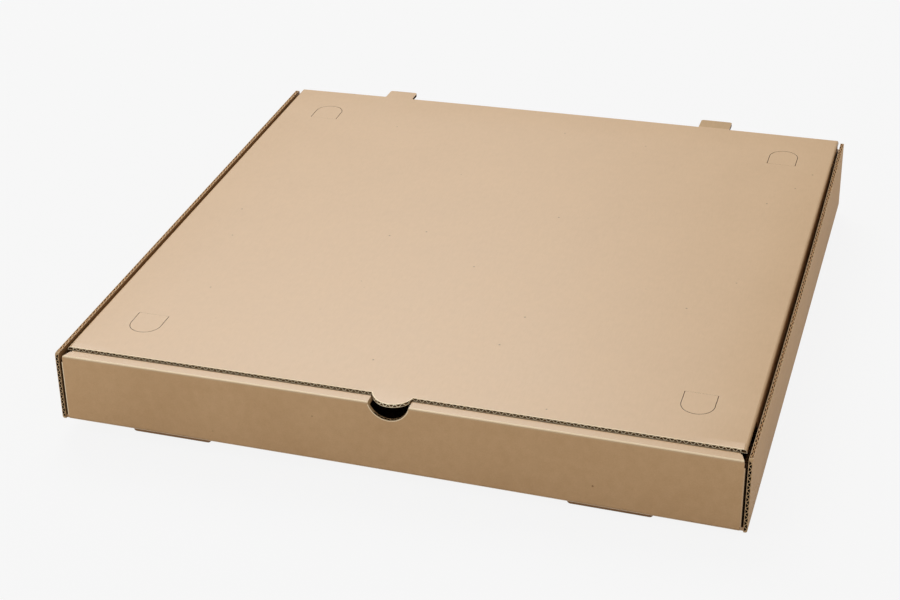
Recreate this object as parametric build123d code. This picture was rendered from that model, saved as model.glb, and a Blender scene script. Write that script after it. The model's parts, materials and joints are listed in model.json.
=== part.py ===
"""Kraft corrugated pizza box folded from one blank: a tray, and a hinged lid with four vent flaps.

X runs to the right, Y from the front wall to the hinge at the rear, Z up. The sheets are worked
out about the middle of the base's underside, and then moved so that the origin lies in the middle
of the whole footprint, on the surface that the box stands on.
"""
import os

from build123d import *

# Board, in millimetres
BOARD = 1.8                   # thickness of the corrugated board
FOLD_RADIUS = 1.0             # outside radius of a creased fold
LID_FOLD_RADIUS = 1.4         # the lid's side folds are rounder
HINGE_RADIUS = 0.6            # the hinge crease is sharper
CREASE_GAP = 0.06             # opening between two bodies along the crease that joins them

# Overall size
BOX_WIDTH = 330.0             # over the two side walls
BOX_DEPTH = 331.5             # over the front and back walls
BOX_HEIGHT = 37.5             # base underside to the top of the side walls and the lid

# Front wall, rolled over and locked into the base
RIDGE_DEPTH = 6.9             # flat top of the roll-over, front to back
RIDGE_DROP = 1.85             # the ridge lies this far below the lid's top face
RIDGE_BEVEL = 2.6             # each end of the ridge narrows by this towards the rear
INNER_WALL_LIFT = 0.4         # the inner wall stops this far above the base
LOCK_TAB_WIDTH = 40.4         # each of the two tabs that go through the base
LEFT_LOCK_TAB_INSET = 51.5    # middle of the left lock tab, from the end of the front wall
RIGHT_LOCK_TAB_INSET = 59.0   # middle of the right lock tab, from the end of the front wall
LOCK_TAB_DROP = 3.0           # how far a lock tab stands out below the base
LOCK_TAB_CORNER = 2.0         # corner radius at the end of a lock tab
LOCK_SLOT_CLEARANCE = 0.3     # round a lock tab in its slot

# Finger notch in the front wall and tongue on the lid
NOTCH_RADIUS = 10.0
NOTCH_CENTRE_RISE = 2.3       # centre of the notch's arc above the ridge
INNER_NOTCH_RADIUS = 14.0     # the inner wall is cut out wider, so that a finger gets in
TONGUE_RADIUS = 10.3
TONGUE_INSET = 0.2            # tip of the tongue behind the front wall's face

# Side walls, and the ears of the front and back walls folded in beside them
SIDE_WALL_SETBACK = 2.2       # rear ends of the side walls, in front of the back wall's face
SIDE_WALL_CORNER = 1.6        # radius of a side wall's free top corners
EAR_WALL_GAP = 0.7            # between an ear and the side wall
EAR_LENGTH = 28.0             # along the side wall, from the face of the front or back wall
EAR_CORNER = 7.0              # chamfer on the free corners of an ear
EAR_BASE_GAP = 0.5            # under an ear, above the base
EAR_TOP_DROP = 5.0            # top of an ear below the top of the side walls

# Lid
LID_SIDE_GAP = 1.4            # between the lid's edge and a side wall
LID_FRONT_SETBACK = 7.3       # lid's front edge behind the front wall's face
SIDE_FLAP_HEIGHT = 27.0       # depth of the lid's tucked-in side flaps
SIDE_FLAP_SETBACK = 34.0      # flap's ends from the faces of the front and back walls
SIDE_FLAP_TAPER = 14.0        # slope of the flap's ends

# Tabs that stay in the lid's plane, behind the hinge crease
REAR_TAB_WIDTH = 17.8
REAR_TAB_LENGTH = 10.0
REAR_TAB_CORNER = 1.5
LEFT_REAR_TAB_INSET = 64.8    # middle of the left tab, from the outside of the left wall
RIGHT_REAR_TAB_INSET = 74.6   # middle of the right tab, from the outside of the right wall
REAR_WINDOW_CLEARANCE = 0.4   # round the gap that a tab leaves in the back wall

# Vent flaps, cut in a U near the corners of the lid
VENT_WIDTH = 15.8
VENT_LENGTH = 17.8            # from the crease to the far point of the arc
VENT_KERF = 0.3               # width of the cut
VENT_INSET = 27.1             # middle of a vent, from the side edge of the lid
FRONT_VENT_CREASE = 47.0      # crease of a front vent, from the front wall's face
REAR_VENT_CREASE = 39.0       # crease of a rear vent, from the back wall's face

# Raw edges, where the flutes of the board's core are cut open
LINER = 0.25                  # paper on each face of the board
FLUTE_PITCH = 3.1             # from one wave of the core to the next
FLUTE_WEB = 0.25              # core paper between two flutes, measured along the edge
FLUTE_TURN = 0.5              # width of a flute's mouth at its narrow side, where the core turns
FLUTE_DEPTH = 3.0             # how deep the flutes are open
FLUTE_MARGIN = 3.1            # the flutes end at least this far before the end of an edge
WALL_FLUTE_MARGIN = 1.4       # the same at the ends of the side walls
GROOVE_DEPTH = 1.2            # of the groove where an edge is cut along the flutes
CORNER_HOLLOW = 2.3           # width of the hollow under the fold, at the lid's front corners

# Places that follow from these
FRONT = -BOX_DEPTH / 2
REAR = BOX_DEPTH / 2
RIDGE_TOP = BOX_HEIGHT - RIDGE_DROP
LID_BOTTOM = BOX_HEIGHT - BOARD
LID_FRONT = FRONT + LID_FRONT_SETBACK
WALL_INSIDE = BOX_WIDTH / 2 - BOARD             # inner face of a side wall
EAR_OUTSIDE = WALL_INSIDE - EAR_WALL_GAP        # face of an ear towards its side wall
FRONT_WALL_HALF = EAR_OUTSIDE - FOLD_RADIUS     # flat part of the front and back walls
INNER_WALL_REAR = FRONT + RIDGE_DEPTH
INNER_WALL_BOTTOM = BOARD + INNER_WALL_LIFT
BACK_WALL_TOP = LID_BOTTOM - CREASE_GAP
LID_HALF = WALL_INSIDE - LID_SIDE_GAP
LOCK_TAB_PLACES = (LEFT_LOCK_TAB_INSET - FRONT_WALL_HALF, FRONT_WALL_HALF - RIGHT_LOCK_TAB_INSET)
REAR_TAB_PLACES = (LEFT_REAR_TAB_INSET - BOX_WIDTH / 2, BOX_WIDTH / 2 - RIGHT_REAR_TAB_INSET)
VENT_OFFSET = LID_HALF - VENT_INSET
NOTCH_CENTRE = RIDGE_TOP + NOTCH_CENTRE_RISE
WINDOW_BOTTOM = LID_BOTTOM - REAR_TAB_LENGTH - REAR_WINDOW_CLEARANCE
WINDOW_WIDTH = REAR_TAB_WIDTH + 2 * REAR_WINDOW_CLEARANCE
SIDE_FLAP_BOTTOM = BOX_HEIGHT - SIDE_FLAP_HEIGHT
STAND = Pos(0, -REAR_TAB_LENGTH / 2, LOCK_TAB_DROP)
THROUGH = 4 * BOARD           # length of a cutter that passes through one board


def folded_board(outside_points, turn, radius=FOLD_RADIUS):
    """Section of the board: its outside line thickened to one side, each fold rounded outside.

    turn is 1 where the board lies to the left of the line, and -1 where it lies to the right.
    """
    outside = [Vector(*point) for point in outside_points]
    normals = [(b - a).normalized().rotate(Axis.Z, 90 * turn) for a, b in zip(outside, outside[1:])]
    inside = []
    for point, before, after in zip(outside, normals[:1] + normals, normals + normals[-1:]):
        mitre = (before + after) / (1 + before.dot(after))
        inside.append(point + mitre * BOARD)
    section = make_face(Polyline(*outside, *reversed(inside), close=True))
    folds = outside[1:-1]
    corners = [v for v in section.vertices() if any((Vector(v) - fold).length < BOARD / 2 for fold in folds)]
    return fillet(corners, radius)


def across(section, half_width):
    """Board with its section in the YZ plane, running across the box."""
    return extrude(Plane.YZ * section, amount=half_width, both=True)


def lengthways(section, front, rear):
    """Board with its section in the XZ plane, running from front to rear."""
    return extrude(Plane.XZ.offset(-rear) * section, amount=rear - front)


def block(left, right, front, rear, bottom, top):
    """Plain block between six planes, used as a panel or as a cutter."""
    middle = Pos((left + right) / 2, (front + rear) / 2, (bottom + top) / 2)
    return middle * Box(right - left, rear - front, top - bottom)


def mirrored(shape):
    """The shape and its copy on the other side of the box."""
    return [shape, mirror(shape, about=Plane.YZ)]


def both_sides(shapes):
    """All of these shapes and their copies on the other side of the box."""
    return [copy for shape in shapes for copy in mirrored(shape)]


def flute_mouth(side):
    """Section of a flute at a raw edge: wide along the liner on that side, narrow at the core's turn."""
    wide = FLUTE_PITCH - 2 * FLUTE_WEB - FLUTE_TURN
    liner = side * (BOARD / 2 - LINER)
    turn = -side * (BOARD / 2 - LINER - FLUTE_WEB)
    corners = [(-wide / 2, liner), (wide / 2, liner), (FLUTE_TURN / 2, turn), (-FLUTE_TURN / 2, turn)]
    return make_face(Polyline(*corners, close=True))


def flutes(edge, length, recess=lambda place: 0, margin=FLUTE_MARGIN):
    """Cutters that open the flutes along a raw edge, by turns against one liner and the other.

    The edge's plane faces out of the board, with its x axis along the edge. recess says how far
    the edge lies behind that plane at a place along it.
    """
    step = FLUTE_PITCH / 2
    last = int((length / 2 - margin) / step)
    cutters = []
    for number in range(-last, last + 1):
        mouth = Pos(number * step, 0) * flute_mouth(1 if number % 2 else -1)
        depth = recess(number * step) + FLUTE_DEPTH
        cutters.append(extrude(edge * mouth, amount=-depth))
    return cutters


def front_to_back_strip():
    """Inner wall, ridge, front wall, base and back wall, as one folded strip."""
    outside = [
        (INNER_WALL_REAR, INNER_WALL_BOTTOM),
        (INNER_WALL_REAR, RIDGE_TOP),
        (FRONT, RIDGE_TOP),
        (FRONT, 0),
        (REAR, 0),
        (REAR, BACK_WALL_TOP),
    ]
    strip = across(folded_board(outside, 1), FRONT_WALL_HALF)
    ridge_end = Polyline(
        (FRONT_WALL_HALF, FRONT),
        (FRONT_WALL_HALF, INNER_WALL_REAR),
        (FRONT_WALL_HALF - RIDGE_BEVEL, INNER_WALL_REAR),
        close=True,
    )
    bevel = extrude(Pos(0, 0, RIDGE_TOP - BOARD) * make_face(ridge_end), amount=THROUGH)
    inner_wall_end = block(
        FRONT_WALL_HALF - RIDGE_BEVEL, FRONT_WALL_HALF,
        INNER_WALL_REAR - BOARD, INNER_WALL_REAR,
        BOARD, RIDGE_TOP,
    )
    return strip - mirrored(bevel) - mirrored(inner_wall_end)


def side_wall():
    """Right side wall, standing on its fold at the edge of the base."""
    section = Pos(WALL_INSIDE, 0) * Rectangle(BOARD, BOX_HEIGHT, align=(Align.MIN, Align.MIN))
    outer_fold = section.vertices().group_by(Axis.Y)[0].sort_by(Axis.X)[-1]
    rear = REAR - SIDE_WALL_SETBACK
    wall = lengthways(fillet(outer_fold, FOLD_RADIUS), FRONT, rear)
    wall = fillet(wall.edges().filter_by(Axis.X).group_by(Axis.Z)[-1], SIDE_WALL_CORNER)
    middle = WALL_INSIDE + BOARD / 2
    front_end = Plane((middle, FRONT, BOX_HEIGHT / 2), x_dir=(0, 0, 1), z_dir=(0, -1, 0))
    rear_end = Plane((middle, rear, BOX_HEIGHT / 2), x_dir=(0, 0, 1), z_dir=(0, 1, 0))
    groove = block(
        WALL_INSIDE + LINER, BOX_WIDTH / 2 - LINER,
        FRONT + SIDE_WALL_CORNER, rear - SIDE_WALL_CORNER,
        BOX_HEIGHT - GROOVE_DEPTH, BOX_HEIGHT,
    )
    cutters = [groove]
    for end in (front_end, rear_end):
        cutters += flutes(end, BOX_HEIGHT, lambda place: SIDE_WALL_CORNER / 2, WALL_FLUTE_MARGIN)
    return wall - cutters


def ear_band(wall_face, inwards):
    """Front or back wall with the ears at its ends, folded in along the side walls."""
    free_end = wall_face + inwards * EAR_LENGTH
    outside = [
        (-EAR_OUTSIDE, free_end), (-EAR_OUTSIDE, wall_face),
        (EAR_OUTSIDE, wall_face), (EAR_OUTSIDE, free_end),
    ]
    section = folded_board(outside, inwards)
    bottom = BOARD + EAR_BASE_GAP
    top = BOX_HEIGHT - EAR_TOP_DROP
    band = extrude(Pos(0, 0, bottom) * section, amount=top - bottom)
    ends = band.edges().filter_by(Axis.X).group_by(Axis.Y)[-1 if inwards > 0 else 0]
    flat_top = EAR_LENGTH - EAR_CORNER - BOARD
    middle = wall_face + inwards * (BOARD + flat_top / 2)
    raw_top = Plane((EAR_OUTSIDE - BOARD / 2, middle, top), x_dir=(0, 1, 0), z_dir=(0, 0, 1))
    cutters = flutes(raw_top, flat_top)
    return chamfer(ends, EAR_CORNER) - both_sides(cutters)


def lock_tab(place):
    """Tab at the foot of the inner wall, with rounded corners below the base."""
    tab = Rectangle(LOCK_TAB_WIDTH, INNER_WALL_BOTTOM + LOCK_TAB_DROP, align=(Align.CENTER, Align.MIN))
    tab = fillet(tab.vertices().group_by(Axis.Y)[0], LOCK_TAB_CORNER)
    return lengthways(Pos(place, -LOCK_TAB_DROP) * tab, INNER_WALL_REAR - BOARD, INNER_WALL_REAR)


def lock_slot(place):
    """Slot in the base that a lock tab goes through."""
    half = LOCK_TAB_WIDTH / 2 + LOCK_SLOT_CLEARANCE
    front = INNER_WALL_REAR - BOARD - LOCK_SLOT_CLEARANCE
    rear = INNER_WALL_REAR + LOCK_SLOT_CLEARANCE
    return block(place - half, place + half, front, rear, -BOARD, BOARD + INNER_WALL_LIFT / 2)


def finger_notch():
    """Round cutters: through the front wall and the ridge, and wider through the inner wall below it."""
    circle = Pos(0, NOTCH_CENTRE) * Circle(NOTCH_RADIUS)
    wide_circle = Pos(0, NOTCH_CENTRE) * Circle(INNER_NOTCH_RADIUS)
    wide = lengthways(wide_circle, FRONT + BOARD, INNER_WALL_REAR + BOARD)
    under_ridge = block(-BOX_WIDTH, BOX_WIDTH, FRONT, REAR, 0, RIDGE_TOP - BOARD)
    return [lengthways(circle, FRONT - BOARD, INNER_WALL_REAR + BOARD), wide & under_ridge]


def notch_flutes():
    """Flutes that the notch cuts open in the front wall."""
    edge = Plane((0, FRONT + BOARD / 2, NOTCH_CENTRE), x_dir=(1, 0, 0), z_dir=(0, 0, 1))
    return flutes(edge, 2 * NOTCH_RADIUS, lambda place: (NOTCH_RADIUS**2 - place**2) ** 0.5)


def rear_window(place):
    """Gap in the top of the back wall, where a rear tab was cut out of it."""
    half = WINDOW_WIDTH / 2
    gap = block(place - half, place + half, REAR - 2 * BOARD, REAR + BOARD, WINDOW_BOTTOM, BOX_HEIGHT)
    sill = Plane((place, REAR - BOARD / 2, WINDOW_BOTTOM), x_dir=(1, 0, 0), z_dir=(0, 0, 1))
    return [gap] + flutes(sill, WINDOW_WIDTH)


def tray():
    """The whole lower part, one folded sheet."""
    base = block(-WALL_INSIDE, WALL_INSIDE, FRONT + FOLD_RADIUS, REAR - SIDE_WALL_SETBACK, 0, BOARD)
    sheet = front_to_back_strip() + base + mirrored(side_wall())
    sheet = sheet + ear_band(FRONT, 1) + ear_band(REAR, -1)
    sheet = sheet - [lock_slot(place) for place in LOCK_TAB_PLACES]
    sheet = sheet + [lock_tab(place) for place in LOCK_TAB_PLACES]
    sheet = sheet - (finger_notch() + notch_flutes())
    return sheet - [cutter for place in REAR_TAB_PLACES for cutter in rear_window(place)]


def lid_panel():
    """Flat top with rounded side folds and a rounded crease along its rear edge."""
    widthways = Pos(0, LID_BOTTOM) * Rectangle(2 * LID_HALF, BOARD, align=(Align.CENTER, Align.MIN))
    widthways = fillet(widthways.vertices().group_by(Axis.Y)[-1], LID_FOLD_RADIUS)
    endways = Pos(LID_FRONT, LID_BOTTOM) * Rectangle(REAR - LID_FRONT, BOARD, align=(Align.MIN, Align.MIN))
    crease = endways.vertices().group_by(Axis.Y)[-1].sort_by(Axis.X)[-1]
    return lengthways(widthways, LID_FRONT, REAR) & across(fillet(crease, HINGE_RADIUS), LID_HALF)


def side_flaps():
    """The lid's two side flaps, with sloping ends so that they slide in beside the walls."""
    bottom = SIDE_FLAP_BOTTOM
    outside = [(-LID_HALF, bottom), (-LID_HALF, BOX_HEIGHT), (LID_HALF, BOX_HEIGHT), (LID_HALF, bottom)]
    front = FRONT + SIDE_FLAP_SETBACK
    rear = REAR - SIDE_FLAP_SETBACK
    outline = Polyline(
        (front, BOX_HEIGHT), (front, LID_BOTTOM), (front + SIDE_FLAP_TAPER, bottom),
        (rear - SIDE_FLAP_TAPER, bottom), (rear, LID_BOTTOM), (rear, BOX_HEIGHT),
        close=True,
    )
    folded = lengthways(folded_board(outside, -1, LID_FOLD_RADIUS), front, rear)
    flaps = folded & across(make_face(outline), BOX_WIDTH / 2)
    return flaps - both_sides(side_flap_flutes(front, -1) + side_flap_flutes(rear, 1))


def side_flap_flutes(end, outwards):
    """Flutes in one sloping end of the right side flap, where outwards is the way that end faces."""
    height = LID_BOTTOM - SIDE_FLAP_BOTTOM
    middle = (LID_HALF - BOARD / 2, end, SIDE_FLAP_BOTTOM + height / 2)
    edge = Plane(middle, x_dir=(0, 0, -1), z_dir=(0, outwards, 0))
    return flutes(edge, height, lambda place: SIDE_FLAP_TAPER * (place / height + 0.5))


def tongue():
    """Rounded finger tongue on the lid's front edge, over the notch."""
    round_end = Pos(0, FRONT + TONGUE_INSET + TONGUE_RADIUS) * Circle(TONGUE_RADIUS)
    return extrude(Pos(0, 0, LID_BOTTOM) * round_end, amount=BOARD)


def rear_tab(place):
    """Tab that carries on in the lid's plane past the hinge crease."""
    length = REAR_TAB_LENGTH + HINGE_RADIUS
    tab = Rectangle(REAR_TAB_WIDTH, length, align=(Align.CENTER, Align.MIN))
    tab = fillet(tab.vertices().group_by(Axis.Y)[-1], REAR_TAB_CORNER)
    return extrude(Pos(place, REAR - HINGE_RADIUS, LID_BOTTOM) * tab, amount=BOARD)


def rear_tab_grooves(place):
    """Grooves between the liners, along the two side edges of a rear tab."""
    end = REAR + REAR_TAB_LENGTH - REAR_TAB_CORNER
    low = LID_BOTTOM + LINER
    high = BOX_HEIGHT - LINER
    left = place - REAR_TAB_WIDTH / 2
    right = place + REAR_TAB_WIDTH / 2
    return [
        block(left, left + GROOVE_DEPTH, REAR, end, low, high),
        block(right - GROOVE_DEPTH, right, REAR, end, low, high),
    ]


def corner_hollow():
    """Hollow under the right side fold of the lid, where its front end is cut open."""
    section = Pos(LID_HALF - LINER, BOX_HEIGHT - LINER) * Rectangle(
        CORNER_HOLLOW, BOARD - 2 * LINER, align=(Align.MAX, Align.MAX)
    )
    round_corner = section.vertices().group_by(Axis.Y)[-1].sort_by(Axis.X)[-1]
    return lengthways(fillet(round_corner, LID_FOLD_RADIUS - LINER), LID_FRONT, LID_FRONT + FLUTE_DEPTH)


def front_recess(place):
    """How far the lid's front edge lies behind the tip of the tongue, at a place along it."""
    rounded = TONGUE_RADIUS - (TONGUE_RADIUS**2 - min(abs(place), TONGUE_RADIUS) ** 2) ** 0.5
    return min(rounded, LID_FRONT_SETBACK - TONGUE_INSET)


def lid_flutes():
    """Cutters for the lid's raw edges: its front edge with the tongue, and the edges of the rear tabs."""
    middle = LID_BOTTOM + BOARD / 2
    front_edge = Plane((0, FRONT + TONGUE_INSET, middle), x_dir=(1, 0, 0), z_dir=(0, -1, 0))
    cutters = flutes(front_edge, 2 * LID_HALF, front_recess) + mirrored(corner_hollow())
    for place in REAR_TAB_PLACES:
        tab_end = Plane((place, REAR + REAR_TAB_LENGTH, middle), x_dir=(1, 0, 0), z_dir=(0, 1, 0))
        cutters += flutes(tab_end, REAR_TAB_WIDTH) + rear_tab_grooves(place)
    return cutters


def vent_outline(grown, root_gap):
    """U shape that points along -Y from a crease through the origin."""
    radius = VENT_WIDTH / 2 + grown
    straight = VENT_LENGTH - VENT_WIDTH / 2
    legs = Pos(0, -root_gap) * Rectangle(2 * radius, straight - root_gap, align=(Align.CENTER, Align.MAX))
    return legs + Pos(0, -straight) * Circle(radius)


def vent_places():
    """Name and place of each vent: the rear pair is turned to point at the hinge."""
    places = {}
    for side, across_x in (("left", -VENT_OFFSET), ("right", VENT_OFFSET)):
        places["front_" + side] = Pos(across_x, FRONT + FRONT_VENT_CREASE, LID_BOTTOM)
        places["rear_" + side] = Pos(across_x, REAR - REAR_VENT_CREASE, LID_BOTTOM) * Rot(Z=180)
    return places


def lid():
    """Lid panel with its side flaps, tongue, rear tabs and vent openings."""
    sheet = lid_panel() + side_flaps() + tongue() + [rear_tab(place) for place in REAR_TAB_PLACES]
    opening = extrude(vent_outline(0, 0), amount=BOARD)
    return sheet - [place * opening for place in vent_places().values()] - lid_flutes()


def vent_flap():
    """One vent flap, smaller than its opening by the cut."""
    return extrude(vent_outline(-VENT_KERF, CREASE_GAP), amount=BOARD)


def write_part(name, shape):
    """Saves one piece of the box in its place."""
    export_step(STAND * shape, os.path.join("parts", name + ".step"))


os.makedirs("parts", exist_ok=True)
write_part("tray", tray())
write_part("lid", lid())
for vent_name, vent_place in vent_places().items():
    write_part("vent_flap_" + vent_name, vent_place * vent_flap())
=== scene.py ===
"""Kraft pizza box: the looks of its folded tray, its hinged lid and the four vent flaps in it."""
import json
import math
import random

import bpy
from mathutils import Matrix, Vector

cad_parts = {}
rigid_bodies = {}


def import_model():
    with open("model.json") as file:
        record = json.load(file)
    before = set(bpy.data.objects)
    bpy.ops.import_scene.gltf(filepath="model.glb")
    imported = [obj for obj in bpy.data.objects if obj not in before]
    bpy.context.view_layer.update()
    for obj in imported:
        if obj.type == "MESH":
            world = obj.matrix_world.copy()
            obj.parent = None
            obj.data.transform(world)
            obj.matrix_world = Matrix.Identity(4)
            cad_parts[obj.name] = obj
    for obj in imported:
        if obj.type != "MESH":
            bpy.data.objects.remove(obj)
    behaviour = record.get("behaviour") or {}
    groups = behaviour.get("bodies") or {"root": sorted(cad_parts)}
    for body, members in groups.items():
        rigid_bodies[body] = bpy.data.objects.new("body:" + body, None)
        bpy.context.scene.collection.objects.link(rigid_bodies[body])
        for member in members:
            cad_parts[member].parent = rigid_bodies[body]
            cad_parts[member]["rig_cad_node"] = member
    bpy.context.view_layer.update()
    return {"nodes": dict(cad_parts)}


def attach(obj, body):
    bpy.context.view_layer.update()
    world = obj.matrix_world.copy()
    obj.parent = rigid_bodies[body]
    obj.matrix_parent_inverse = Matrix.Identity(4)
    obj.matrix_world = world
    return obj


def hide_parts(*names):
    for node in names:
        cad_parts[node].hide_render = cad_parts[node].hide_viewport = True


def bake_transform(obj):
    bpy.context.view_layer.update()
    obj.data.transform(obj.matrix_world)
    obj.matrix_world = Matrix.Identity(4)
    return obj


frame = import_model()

# Sizes of the corrugated board, in metres
MM = 0.001
BOARD = 1.8 * MM              # thickness
LINER = 0.25 * MM             # paper on each face
FLUTE_PITCH = 3.1 * MM        # from one wave of the core to the next
FLUTE_DEPTH = 3.0 * MM        # how deep the flutes are open at a raw edge
GROOVE_DEPTH = 1.2 * MM       # of the groove where an edge is cut along the flutes
FOLD = 1.0 * MM               # outside radius of a fold
RIM = 0.45 * MM               # width of the pale rim along a cut: rubbed paper and painted highlight
NEAR = 0.02 * MM              # two places closer than this are the same

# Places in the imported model
FLOOR = 0.0
BASE = 3.0 * MM               # underside of the base, above the lock tabs' ends
TOP = 40.5 * MM
FRONT = -170.75 * MM
REAR = 160.75 * MM
HALF_WIDTH = 165.0 * MM
WALL_INSIDE = HALF_WIDTH - BOARD
WALL_REAR = REAR - 2.2 * MM
WALL_CORNER = 1.6 * MM        # radius of a side wall's free top corners
EAR_OUTSIDE = WALL_INSIDE - 0.7 * MM
EAR_LENGTH = 28.0 * MM
EAR_TOP = TOP - 5.0 * MM
FRONT_WALL_HALF = EAR_OUTSIDE - FOLD
RIDGE_REAR = FRONT + 6.9 * MM
RIDGE_TOP = TOP - 1.85 * MM
NOTCH_RADIUS = 10.0 * MM
NOTCH_CENTRE = RIDGE_TOP + 2.3 * MM
LID_FRONT = FRONT + 7.3 * MM
FRONT_STRIP = LID_FRONT + 5.0 * MM
LID_HALF = WALL_INSIDE - 1.4 * MM
LID_BOTTOM = TOP - BOARD
TONGUE_RADIUS = 10.3 * MM
TONGUE_CENTRE = FRONT + 0.2 * MM + TONGUE_RADIUS
TAB_END = REAR + 10.0 * MM
TAB_ROOT = REAR + 0.3 * MM
TAB_WIDTH = 17.8 * MM
TAB_PLACES = (64.8 * MM - HALF_WIDTH, HALF_WIDTH - 74.6 * MM)
VENT_ACROSS = LID_HALF - 27.1 * MM
VENT_CREASES = (FRONT + 47.0 * MM, REAR - 39.0 * MM)
VENT_SIZE = 18.0 * MM
MIDDLE = Vector((0, (FRONT + REAR) / 2, (BASE + TOP) / 2))

# How the real sheet has warped: lift of each corner, in millimetres, by its place across, along and up
CORNER_LIFT = {
    (-1, -1, -1): 2.85, (1, -1, -1): -2.95, (-1, 1, -1): -1.2, (1, 1, -1): -0.5,
    (-1, -1, 1): 1.3, (1, -1, 1): -2.2, (-1, 1, 1): -0.9, (1, 1, 1): 1.45,
}
ARCH = 0.6 * MM               # the box stands higher along its middle than at its sides
WALL_BOW = 0.9 * MM           # the right wall bulges by this in the middle of its top edge
WALL_LEAN = 0.4 * MM          # and leans out by this at its front end
RIDGE_LIFT = 0.60 * MM        # the front wall's ridge springs up a little
RIDGE_SPRING = 10.0 * MM      # over this height
TONGUE_SLOPE = 0.08           # the tongue hangs a little
TAB_SLOPE = -0.04             # so does the left rear tab
TAB_SHRINK = 0.08             # which is a little narrower than the right one
HINGE_ROOM = 0.15 * MM        # the lid stands back from the back wall by this, to turn over flat
VENT_FOLD = 3.0 * MM          # a vent flap's sheet is cut across this far from its crease: the length over which the real flap bends and stays joined to the lid
LOCK_TAB_SLOPE = 0.62         # the lock tabs are bent forward under the box
PANELS = 11                   # the sheets are cut into this many panels each way, to bend smoothly
LATTICE_POINTS = (7, 7, 2)    # across, along and up the box
SMOOTH_ANGLE = 30.0           # edges sharper than this stay sharp, in degrees
FLAT_ANGLE = 0.5              # triangles that meet at less than this are one face, in degrees

# Crushed core of the board in the groove on top of each side wall
CORE_STEPS = 480              # along a wall
CORE_SWING = 0.40 * MM        # the core winds this far to each side
CORE_WAVES = (0.8, 1.6)       # shortest and longest wave, as shares of the flutes' pitch
CORE_DROPS = (0.05, 0.35)     # its edge lies this far below the liners, in millimetres
LEFT_CORE_HALF = 0.30 * MM    # half its thickness, spread out where it is crushed
RIGHT_CORE_HALF = 0.17 * MM

# Patterns in the paper, in millimetres
CLOUD_SIZE = 40
MOTTLE_SIZE = 4
FIBRE_WIDTH = 0.7
FIBRE_LENGTH = 5
SHIVE_SPACING = 17            # from one dark sliver of wood to the next
SHIVE_RADII = (0.3, 0.65)     # of its dark middle, and of its soft edge
CORE_MOTTLE_SIZE = 2          # in the fluting paper

# Studio
FLOOR_DROP = 2.0 * MM         # the floor lies this much lower, because the warp lowers a lock tab
FLOOR_SIZE = 12
FLOOR_GLOW = 0.93             # share of plain background in the floor; the rest shows the shadow
WORLD_LIGHT = 0.47

# Camera of the photograph, which is 900 by 600 pixels
CAMERA_PLACE = (0.25267, -0.90077, 0.52280)
CAMERA_TURN = (60.906, 0.913, 16.431)
SENSOR_WIDTH = 36.0
LENS = 80.62


def srgb(code):
    """Linear colour of an sRGB hex value."""
    channels = [int(code[start:start + 2], 16) / 255 for start in (1, 3, 5)]
    return [c / 12.92 if c <= 0.04045 else ((c + 0.055) / 1.055) ** 2.4 for c in channels] + [1.0]


def per_metre(millimetres):
    """Scale of a texture whose pattern is this large."""
    return 1000 / millimetres


def add_node(tree, kind, settings=None, inputs=None):
    """Adds a node with its settings. An input is a value, or the socket that is linked to it."""
    node = tree.nodes.new(kind)
    for name, value in (settings or {}).items():
        setattr(node, name, value)
    for name, value in (inputs or {}).items():
        if isinstance(value, bpy.types.NodeSocket):
            tree.links.new(value, node.inputs[name])
        else:
            node.inputs[name].default_value = value
    return node


def new_material(name):
    """A material with its shader, and the tree that the shader is in."""
    material = bpy.data.materials.new(name)
    material.use_nodes = True
    tree = material.node_tree
    return material, tree, tree.nodes["Principled BSDF"]


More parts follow.
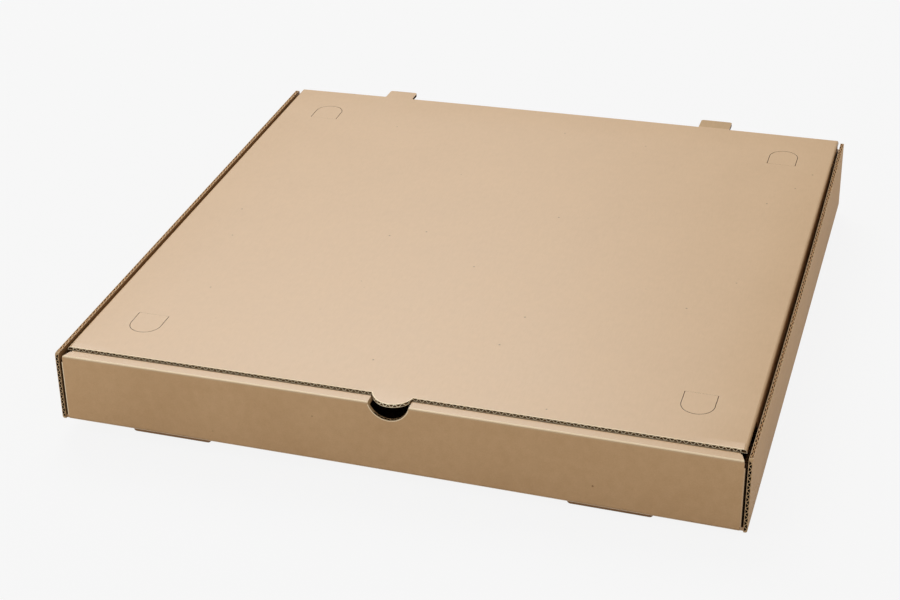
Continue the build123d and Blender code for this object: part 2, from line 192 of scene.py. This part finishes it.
def kraft(name, shaded, plain, speck, sheen):
    """Unbleached kraft paper, calendered on the machine.

    To the eye it is a matt warm brown with a soft sheen, very even, with faint clouds, short fibres
    along the machine's direction, a few dark shives and a hint of the flutes under it.
    """
    material, tree, shader = new_material(name)
    place = add_node(tree, "ShaderNodeTexCoord").outputs["Object"]
    clouds = add_node(tree, "ShaderNodeTexNoise", inputs={
        "Vector": place, "Scale": per_metre(CLOUD_SIZE), "Detail": 2.0})
    mottle = add_node(tree, "ShaderNodeTexNoise", inputs={
        "Vector": place, "Scale": per_metre(MOTTLE_SIZE), "Detail": 3.0})
    stretched = add_node(tree, "ShaderNodeMapping", inputs={
        "Vector": place,
        "Scale": (per_metre(FIBRE_WIDTH), per_metre(FIBRE_LENGTH), per_metre(FIBRE_WIDTH))})
    fibres = add_node(tree, "ShaderNodeTexNoise", inputs={
        "Vector": stretched.outputs["Vector"], "Scale": 1.0, "Detail": 3.0})
    soft = add_node(tree, "ShaderNodeMix", inputs={
        "Factor": 0.5, "A": clouds.outputs["Fac"], "B": mottle.outputs["Fac"]})
    shade = add_node(tree, "ShaderNodeMix", inputs={
        "Factor": 0.35, "A": soft.outputs["Result"], "B": fibres.outputs["Fac"]})
    paper = add_node(tree, "ShaderNodeMix", {"data_type": "RGBA"}, {
        "Factor": shade.outputs["Result"], "A": srgb(shaded), "B": srgb(plain)})
    cells = add_node(tree, "ShaderNodeTexVoronoi", inputs={
        "Vector": place, "Scale": per_metre(SHIVE_SPACING)})
    shives = add_node(tree, "ShaderNodeMapRange", inputs={
        "Value": cells.outputs["Distance"],
        "From Min": SHIVE_RADII[0] / SHIVE_SPACING, "From Max": SHIVE_RADII[1] / SHIVE_SPACING,
        "To Min": 0.75, "To Max": 0.0})
    surface = add_node(tree, "ShaderNodeMix", {"data_type": "RGBA"}, {
        "Factor": shives.outputs["Result"], "A": paper.outputs["Result"], "B": srgb(speck)})
    tree.links.new(surface.outputs["Result"], shader.inputs["Base Color"])
    gloss = add_node(tree, "ShaderNodeMapRange", inputs={
        "Value": soft.outputs["Result"], "To Min": 0.34, "To Max": 0.46})
    tree.links.new(gloss.outputs["Result"], shader.inputs["Roughness"])
    shader.inputs["Specular IOR Level"].default_value = sheen
    waves = add_node(tree, "ShaderNodeTexWave", inputs={
        "Vector": place, "Scale": 2 * math.pi / (20 * FLUTE_PITCH), "Distortion": 0.0})
    relief = add_node(tree, "ShaderNodeMix", inputs={
        "Factor": 0.25, "A": fibres.outputs["Fac"], "B": waves.outputs["Fac"]})
    bump = add_node(tree, "ShaderNodeBump", inputs={
        "Height": relief.outputs["Result"], "Strength": 0.3, "Distance": 0.02 * MM})
    tree.links.new(bump.outputs["Normal"], shader.inputs["Normal"])
    return material


def fluting(name, shaded, plain):
    """Fluting paper or raw fibres at a cut: to the eye rough and matt, and a little mottled. Also used with
    very dark and very pale colours as painted shade and painted highlight.
    """
    material, tree, shader = new_material(name)
    place = add_node(tree, "ShaderNodeTexCoord").outputs["Object"]
    mottle = add_node(tree, "ShaderNodeTexNoise", inputs={
        "Vector": place, "Scale": per_metre(CORE_MOTTLE_SIZE), "Detail": 3.0})
    paper = add_node(tree, "ShaderNodeMix", {"data_type": "RGBA"}, {
        "Factor": mottle.outputs["Fac"], "A": srgb(shaded), "B": srgb(plain)})
    tree.links.new(paper.outputs["Result"], shader.inputs["Base Color"])
    shader.inputs["Roughness"].default_value = 0.9
    shader.inputs["Specular IOR Level"].default_value = 0.1
    return material


def within(low, high):
    """Test whether a point lies in the box between two corners."""
    return lambda point: all(low[a] - NEAR <= point[a] <= high[a] + NEAR for a in range(3))


def both_sides(low, high):
    """Tests for a box on the right and for the same one on the left."""
    return [within(low, high), within((-high[0], low[1], low[2]), (-low[0], high[1], high[2]))]


def passing(piece, tests):
    """Faces that have all their corners in one of the places."""
    for face in piece.data.polygons:
        corners = [piece.data.vertices[number].co for number in face.vertices]
        if any(all(test(corner) for corner in corners) for test in tests):
            yield face


def wear_and_highlight_rim(piece, test, stretch):
    """Gives the flat faces in this place a narrow rim, painted pale along one stretch of it: rubbed paper
    and a painted highlight on the edge.
    """
    bpy.ops.object.mode_set(mode="EDIT")
    bpy.ops.mesh.select_mode(type="FACE")
    bpy.ops.mesh.select_all(action="DESELECT")
    bpy.ops.object.mode_set(mode="OBJECT")
    for face in passing(piece, [test]):
        face.select = True
    bpy.ops.object.mode_set(mode="EDIT")
    bpy.ops.mesh.inset(thickness=RIM, use_even_offset=False, use_select_inset=True)
    bpy.ops.object.mode_set(mode="OBJECT")
    for face in piece.data.polygons:
        if face.select and stretch(face.center):
            face.material_index = WORN_AND_HIGHLIT


def shape_piece(piece, warp):
    """Bends a piece as the whole box has warped."""
    bpy.ops.object.mode_set(mode="EDIT")
    for number in range(1, PANELS):
        share = number / PANELS - 0.5
        for offset, normal in ((share * 2 * HALF_WIDTH, (1, 0, 0)), (share * (REAR - FRONT), (0, 1, 0))):
            bpy.ops.mesh.select_all(action="SELECT")
            bpy.ops.mesh.bisect(plane_co=MIDDLE + offset * Vector(normal), plane_no=normal)
    bpy.ops.object.mode_set(mode="OBJECT")
    modifier = piece.modifiers.new("warp", "LATTICE")
    modifier.object = warp
    bpy.ops.object.modifier_apply(modifier="warp")
    bpy.ops.object.shade_smooth_by_angle(angle=math.radians(SMOOTH_ANGLE))


def finish_piece(piece, body, warp):
    """Bends a piece as the box has warped, and lets it ride on its body."""
    shape_piece(piece, warp)
    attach(piece, body)


def board_piece(node, name, paints, cuts=(), rims=()):
    """Copy of a folded sheet with its triangles joined, and its faces painted by their places."""
    bpy.ops.object.select_all(action="DESELECT")
    source = frame["nodes"][node]
    source.select_set(True)
    bpy.context.view_layer.objects.active = source
    bpy.ops.object.duplicate()
    bpy.ops.object.parent_clear(type="CLEAR_KEEP_TRANSFORM")
    piece = bpy.context.active_object
    piece.name = name
    del piece["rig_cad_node"]
    piece.data.materials.clear()
    for material in MATERIALS:
        piece.data.materials.append(material)
    bpy.ops.object.mode_set(mode="EDIT")
    bpy.ops.mesh.select_all(action="SELECT")
    bpy.ops.mesh.customdata_custom_splitnormals_clear()
    bpy.ops.mesh.remove_doubles(threshold=NEAR / 10)
    bpy.ops.mesh.dissolve_limited(angle_limit=math.radians(FLAT_ANGLE))
    for place in cuts:
        bpy.ops.mesh.select_all(action="SELECT")
        bpy.ops.mesh.bisect(plane_co=(0, place, 0), plane_no=(0, 1, 0))
    bpy.ops.object.mode_set(mode="OBJECT")
    for material_number, tests in paints:
        for face in passing(piece, tests):
            face.material_index = material_number
    for test, stretch in rims:
        wear_and_highlight_rim(piece, test, stretch)
    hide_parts(node)
    return piece


def wall_core(name, side, half_width):
    """Crushed edge of the core paper, winding between the liners along the top of a side wall."""
    chance = random.Random(side)
    points = []
    faces = []
    front = FRONT + WALL_CORNER
    pitch = (WALL_REAR - WALL_CORNER - front) / CORE_STEPS
    low = TOP - GROOVE_DEPTH
    phase = 0.0
    for step in range(CORE_STEPS + 1):
        phase += 2 * math.pi * pitch / (FLUTE_PITCH * chance.uniform(*CORE_WAVES))
        middle = side * (HALF_WIDTH - BOARD / 2) + CORE_SWING * math.sin(phase)
        high = TOP - chance.uniform(*CORE_DROPS) * MM
        for across, up in ((-1, low), (1, low), (1, high), (-1, high)):
            points.append((middle + across * half_width, front + step * pitch, up))
    for step in range(CORE_STEPS):
        for corner in range(4):
            start = 4 * step + corner
            turn = 4 * step + (corner + 1) % 4
            faces.append((start, turn, turn + 4, start + 4))
    faces.append((3, 2, 1, 0))
    faces.append(tuple(4 * CORE_STEPS + corner for corner in range(4)))
    mesh = bpy.data.meshes.new(name)
    mesh.from_pydata(points, [], faces)
    mesh.materials.append(MATERIALS[DULL])
    piece = bpy.data.objects.new(name, mesh)
    bpy.context.collection.objects.link(piece)
    bpy.ops.object.select_all(action="DESELECT")
    piece.select_set(True)
    bpy.context.view_layer.objects.active = piece
    bpy.ops.object.mode_set(mode="EDIT")
    bpy.ops.mesh.select_all(action="SELECT")
    bpy.ops.mesh.normals_make_consistent()
    bpy.ops.object.mode_set(mode="OBJECT")
    return piece


def warp_lattice(bow, lean):
    """Lattice that bends the box as the real one has warped, with the right wall's bow and lean."""
    bpy.ops.object.select_all(action="DESELECT")
    bpy.ops.object.add(type="LATTICE", location=MIDDLE)
    lattice = bpy.context.active_object
    lattice.scale = (2 * HALF_WIDTH, REAR - FRONT, TOP - BASE)
    for axis, count in zip("uvw", LATTICE_POINTS):
        setattr(lattice.data, "points_" + axis, count)
        setattr(lattice.data, "interpolation_type_" + axis, "KEY_LINEAR")
    for point in lattice.data.points:
        place = 2 * point.co
        lift = ARCH * (1 - place.x**2)
        for corner, height in CORNER_LIFT.items():
            lift += height * MM * math.prod((1 + place[axis] * corner[axis]) / 2 for axis in range(3))
        point.co_deform.z += lift / lattice.scale.z
        on_top_of_right_wall = place.x > 0.9 and place.z > 0
        if on_top_of_right_wall:
            point.co_deform.x += (lean * (1 - place.y) / 2 + bow * (1 - place.y**2)) / lattice.scale.x
    bpy.context.view_layer.update()
    return lattice


def bend(piece, test, shift):
    """Moves each corner of the sheet in this place by the shift that is worked out for it."""
    for vertex in piece.data.vertices:
        if test(vertex.co):
            vertex.co += Vector(shift(vertex.co))


def area_light(name, place, size, energy):
    """Large soft light that points at the box."""
    bpy.ops.object.light_add(type="AREA", location=place)
    light = bpy.context.active_object
    light.name = name
    light.data.size = size
    light.data.energy = energy
    light.rotation_euler = (MIDDLE - light.location).to_track_quat("-Z", "Y").to_euler()


def studio():
    """Pale floor, a broad soft light behind on the left, a weak one in front, and even light all round."""
    bpy.ops.object.select_all(action="DESELECT")
    bpy.ops.mesh.primitive_plane_add(size=FLOOR_SIZE, location=(0, 0, FLOOR - FLOOR_DROP))
    floor = bpy.context.active_object
    floor.name = "floor"
    # matt and almost white: the eye sees plain background with a faint shadow
    material, tree, shader = new_material("pale_studio_floor")
    shader.inputs["Base Color"].default_value = srgb("#E4E4E4")
    shader.inputs["Roughness"].default_value = 1.0
    glow = add_node(tree, "ShaderNodeEmission", inputs={"Color": srgb("#F9F9F9")})
    rays = add_node(tree, "ShaderNodeLightPath").outputs
    mirrored = add_node(tree, "ShaderNodeMath", {"operation": "MAXIMUM"}, {
        0: rays["Is Glossy Ray"], 1: rays["Is Transmission Ray"]})
    seen = add_node(tree, "ShaderNodeMath", {"operation": "MAXIMUM"}, {
        0: rays["Is Camera Ray"], 1: mirrored.outputs[0]})
    share = add_node(tree, "ShaderNodeMath", {"operation": "MULTIPLY"}, {0: seen.outputs[0], 1: FLOOR_GLOW})
    mix = add_node(tree, "ShaderNodeMixShader", inputs={
        0: share.outputs[0], 1: shader.outputs[0], 2: glow.outputs[0]})
    tree.links.new(mix.outputs[0], tree.nodes["Material Output"].inputs["Surface"])
    floor.data.materials.append(material)

    world = bpy.data.worlds.new("studio")
    bpy.context.scene.world = world
    world.use_nodes = True
    background = world.node_tree.nodes["Background"]
    background.inputs["Color"].default_value = srgb("#FFFFFF")
    background.inputs["Strength"].default_value = WORLD_LIGHT
    area_light("softbox", place=(-1.0, 1.88, 2.32), size=1.8, energy=46)
    area_light("front_fill", place=(-0.8, -0.9, 1.0), size=1.0, energy=2.5)


def photo_camera():
    """Camera at the photograph's place, without depth of field."""
    turns = [math.radians(turn) for turn in CAMERA_TURN]
    bpy.ops.object.camera_add(location=CAMERA_PLACE, rotation=turns)
    camera = bpy.context.active_object
    camera.data.sensor_width = SENSOR_WIDTH
    camera.data.lens = LENS
    bpy.context.scene.camera = camera


LINERBOARD, SHADE, FLUTES, WORN_AND_HIGHLIT, RAW_AND_HIGHLIT, INSIDE_AND_SHADE, DULL, CRUSHED_AND_SHADED = range(8)
MATERIALS = [
    # smooth outer liner of the lid, with a soft sheen towards the light
    kraft("kraft_linerboard", "#C6A071", "#DBB587", "#7A5632", 0.88),
    # painted shade: nearly black where hardly any light gets in, in the flutes' depth, the slits beside the
    # ears, the cut lines and under the box
    fluting("painted_shade_near_black", "#2A1C10", "#3E2B1A"),
    # mouths of the flutes along the lid's front edge, brown where the light falls in
    fluting("fluting_in_the_light", "#8E6840", "#A87F52"),
    # paper rubbed pale along a fold or a cut, and painted paler still as a highlight on these edges
    kraft("kraft_worn_fold_and_highlight", "#FBDDB0", "#FFEBC8", "#C8A070", 0.5),
    # raw fibres of the liners at a cut, painted almost white as a highlight, the palest line on the box
    fluting("board_cut_edge_and_highlight", "#FFE6B8", "#FFF6DA"),
    # liner inside the box, darker and duller than the outer one, and painted darker still as shade in the
    # gaps and slits
    kraft("kraft_inner_liner_and_shade", "#936F48", "#A37C52", "#6A4A2A", 0.3),
    # outer liner of the walls, more mottled and with hardly any sheen
    kraft("kraft_dulled_wall", "#BF966A", "#E6C094", "#7A5632", 0.004),
    # crushed edges, uneven and a little grey; on the right rear tab also painted shade, darker as it turns
    # from the light
    kraft("kraft_crushed_edge_and_shaded_tab", "#AE8C60", "#D6B285", "#6A4A2A", 0.3),
]

core_low, core_high = WALL_INSIDE + LINER, HALF_WIDTH - LINER
front_face = within((-FRONT_WALL_HALF, FRONT, BASE), (FRONT_WALL_HALF, FRONT, RIDGE_TOP))
below_base = within((-1, -1, FLOOR), (1, 1, BASE - 2 * NEAR))
tray_paints = [
    # inside faces: darker inner liner, painted darker still as shade in the gaps
    (INSIDE_AND_SHADE, [
        within((-WALL_INSIDE, FRONT + BOARD, BASE + BOARD), (WALL_INSIDE, REAR - BOARD, TOP)),
        within((-WALL_INSIDE, FRONT, BASE + BOARD), (WALL_INSIDE, REAR, BASE + BOARD + 2 * FOLD)),
        within((-LID_HALF, RIDGE_REAR - BOARD, FLOOR), (LID_HALF, RIDGE_REAR - BOARD, RIDGE_TOP)),
    ] + both_sides((WALL_INSIDE, FRONT, BASE), (WALL_INSIDE, REAR, TOP))),
    (LINERBOARD, [within((-LID_HALF, RIDGE_REAR, FLOOR), (LID_HALF, RIDGE_REAR, TOP))]),
    (DULL, both_sides((HALF_WIDTH, FRONT, BASE), (HALF_WIDTH, REAR, TOP)) + [front_face]),
    # pale lines on the ridge's front fold and the front wall's left end fold: rubbed paper and painted
    # highlight
    (WORN_AND_HIGHLIT, [
        within((-HALF_WIDTH, FRONT, RIDGE_TOP - 0.4 * FOLD), (HALF_WIDTH, FRONT + FOLD, RIDGE_TOP)),
        within((-FRONT_WALL_HALF - 0.5 * FOLD, FRONT, BASE), (-FRONT_WALL_HALF, FRONT + FOLD, RIDGE_TOP)),
    ]),
    # painted shade, near black: the flutes' depth at the walls' ends, the groove on the wall tops, the back
    # wall's core, the notch's flutes, the slits beside the ears and the ears' tops
    (SHADE, both_sides((core_low, FRONT, BASE), (core_high, FRONT + 2 * FLUTE_DEPTH, TOP))
        + both_sides((core_low, WALL_REAR - 2 * FLUTE_DEPTH, BASE), (core_high, WALL_REAR, TOP))
        + both_sides((core_low, FRONT, TOP - GROOVE_DEPTH), (core_high, REAR, TOP))
        + [within((-LID_HALF, REAR - BOARD + LINER, BASE + BOARD), (LID_HALF, REAR - LINER, TOP)),
           within((-NOTCH_RADIUS, FRONT + LINER, BASE + BOARD),
                  (NOTCH_RADIUS, FRONT + BOARD - LINER, RIDGE_TOP))]
        + both_sides((FRONT_WALL_HALF + 0.5 * FOLD, FRONT, BASE), (EAR_OUTSIDE, FRONT + EAR_LENGTH, TOP))
        + both_sides((EAR_OUTSIDE - BOARD, FRONT, EAR_TOP), (EAR_OUTSIDE, FRONT + EAR_LENGTH, EAR_TOP))),
    # painted shade on the lock tabs under the box
    (SHADE, [below_base]),
    (CRUSHED_AND_SHADED, both_sides((WALL_INSIDE, FRONT, BASE), (HALF_WIDTH, FRONT, TOP))
        + both_sides((WALL_INSIDE, FRONT, TOP - WALL_CORNER), (HALF_WIDTH, FRONT + WALL_CORNER, TOP))
        + both_sides((WALL_INSIDE, WALL_REAR, BASE), (HALF_WIDTH, WALL_REAR, TOP))
        + both_sides((WALL_INSIDE, WALL_REAR - WALL_CORNER, TOP - WALL_CORNER),
                     (HALF_WIDTH, WALL_REAR, TOP))
        + both_sides((WALL_INSIDE, FRONT, TOP), (HALF_WIDTH, REAR, TOP))
        + [lambda point: abs(math.hypot(point.x, point.z - NOTCH_CENTRE) - NOTCH_RADIUS) < NEAR]),
]
lid_core = (LID_BOTTOM + LINER, TOP - LINER)
lid_paints = [
    # the lid's underside: darker inner liner, with painted shade in it
    (INSIDE_AND_SHADE, [within((-LID_HALF, FRONT, BASE), (LID_HALF, TAB_END, LID_BOTTOM))]),
    (LINERBOARD, both_sides((LID_HALF, FRONT, BASE), (LID_HALF, REAR, TOP))),
    # the right rear tab's top and the tabs' cut ends: crushed paper, and on the right tab also painted
    # shade
    (CRUSHED_AND_SHADED, [
        within((0, TAB_ROOT, TOP), (LID_HALF, TAB_END, TOP)),
        within((-LID_HALF, TAB_END, LID_BOTTOM), (LID_HALF, TAB_END, TOP)),
    ]),
    (FLUTES, [within((-LID_HALF, FRONT, lid_core[0]), (LID_HALF, LID_FRONT + FLUTE_DEPTH, lid_core[1]))]),
    # painted shade, near black: the grooves in the rear tabs' sides and the vents' cut lines
    (SHADE, [
        within((place - TAB_WIDTH / 2, REAR, lid_core[0]), (place + TAB_WIDTH / 2, TAB_END, lid_core[1]))
        for place in TAB_PLACES
    ] + [test for crease in VENT_CREASES for test in both_sides(
        (VENT_ACROSS - VENT_SIZE / 2, crease - VENT_SIZE, LID_BOTTOM),
        (VENT_ACROSS + VENT_SIZE / 2, crease + VENT_SIZE, TOP))]),
    # the lid's front edge and the tongue's edge: cut fibres painted almost white, partly as a painted
    # highlight
    (RAW_AND_HIGHLIT, [
        within((-LID_HALF, LID_FRONT, LID_BOTTOM), (LID_HALF, LID_FRONT, TOP)),
        lambda point: abs(math.hypot(point.x, point.y - TONGUE_CENTRE) - TONGUE_RADIUS) < NEAR,
    ]),
]
vent_paints = [
    # painted shade, near black, on the flaps' cut sides
    (SHADE, [within((-1, -1, FLOOR), (1, 1, TOP))]),
    # the flaps' undersides: darker inner liner, with painted shade in it
    (INSIDE_AND_SHADE, [within((-1, -1, LID_BOTTOM), (1, 1, LID_BOTTOM))]),
    (LINERBOARD, [within((-1, -1, TOP), (1, 1, TOP))]),
]
notch_edge = within((-NOTCH_RADIUS, FRONT, NOTCH_CENTRE - NOTCH_RADIUS - RIM),
                    (NOTCH_RADIUS, FRONT, RIDGE_TOP - FOLD))
front_strip = within((-LID_HALF, FRONT, TOP), (LID_HALF, FRONT_STRIP, TOP))
front_edge = within((-LID_HALF, FRONT, LID_BOTTOM), (LID_HALF, LID_FRONT + RIM, TOP))

tray_warp = warp_lattice(WALL_BOW, WALL_LEAN)
lid_warp = warp_lattice(0, 0)
# the front face gets a pale rim along the notch's edge: rubbed paper and painted highlight
tray_sheet = board_piece("tray", "tray_sheet", tray_paints, rims=[(front_face, notch_edge)])
bend(tray_sheet, below_base, lambda place: (0, LOCK_TAB_SLOPE * (place.z - BASE), 0))
ridge = within((-EAR_OUTSIDE, FRONT, RIDGE_TOP - RIDGE_SPRING), (EAR_OUTSIDE, RIDGE_REAR, RIDGE_TOP))
bend(tray_sheet, ridge, lambda place: (0, 0, RIDGE_LIFT * (1 - (RIDGE_TOP - place.z) / RIDGE_SPRING)))
finish_piece(tray_sheet, "tray", tray_warp)
finish_piece(wall_core("left_wall_core", -1, LEFT_CORE_HALF), "tray", tray_warp)
finish_piece(wall_core("right_wall_core", 1, RIGHT_CORE_HALF), "tray", tray_warp)

# the lid gets a pale rim along its front edge: rubbed paper and painted highlight
lid_sheet = board_piece("lid", "lid_sheet", lid_paints, cuts=[TAB_ROOT, FRONT_STRIP],
                        rims=[(front_strip, front_edge)])
bend(lid_sheet, within((-1, FRONT, 0), (1, LID_FRONT, 1)),
     lambda place: (0, 0, TONGUE_SLOPE * (place.y - LID_FRONT)))
bend(lid_sheet, within((TAB_PLACES[0] - TAB_WIDTH, TAB_ROOT, 0), (0, TAB_END, 1)),
     lambda place: (TAB_SHRINK * (TAB_PLACES[0] - place.x), 0, TAB_SLOPE * (place.y - REAR)))
bend(lid_sheet, within((-1, REAR, 0), (1, REAR, 1)), lambda place: (0, -HINGE_ROOM, 0))
finish_piece(lid_sheet, "lid", lid_warp)

for corner in ("front_left", "front_right", "rear_left", "rear_right"):
    crease, away = (VENT_CREASES[0], -1) if corner.startswith("front") else (VENT_CREASES[1], 1)
    fold_end = crease + away * VENT_FOLD
    flap = board_piece("vent_flap_" + corner, "vent_" + corner + "_sheet", vent_paints, cuts=[fold_end])
    shape_piece(flap, lid_warp)
    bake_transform(flap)
bpy.data.objects.remove(tray_warp)
bpy.data.objects.remove(lid_warp)

studio()
photo_camera()
bpy.context.scene.view_settings.view_transform = "Standard"
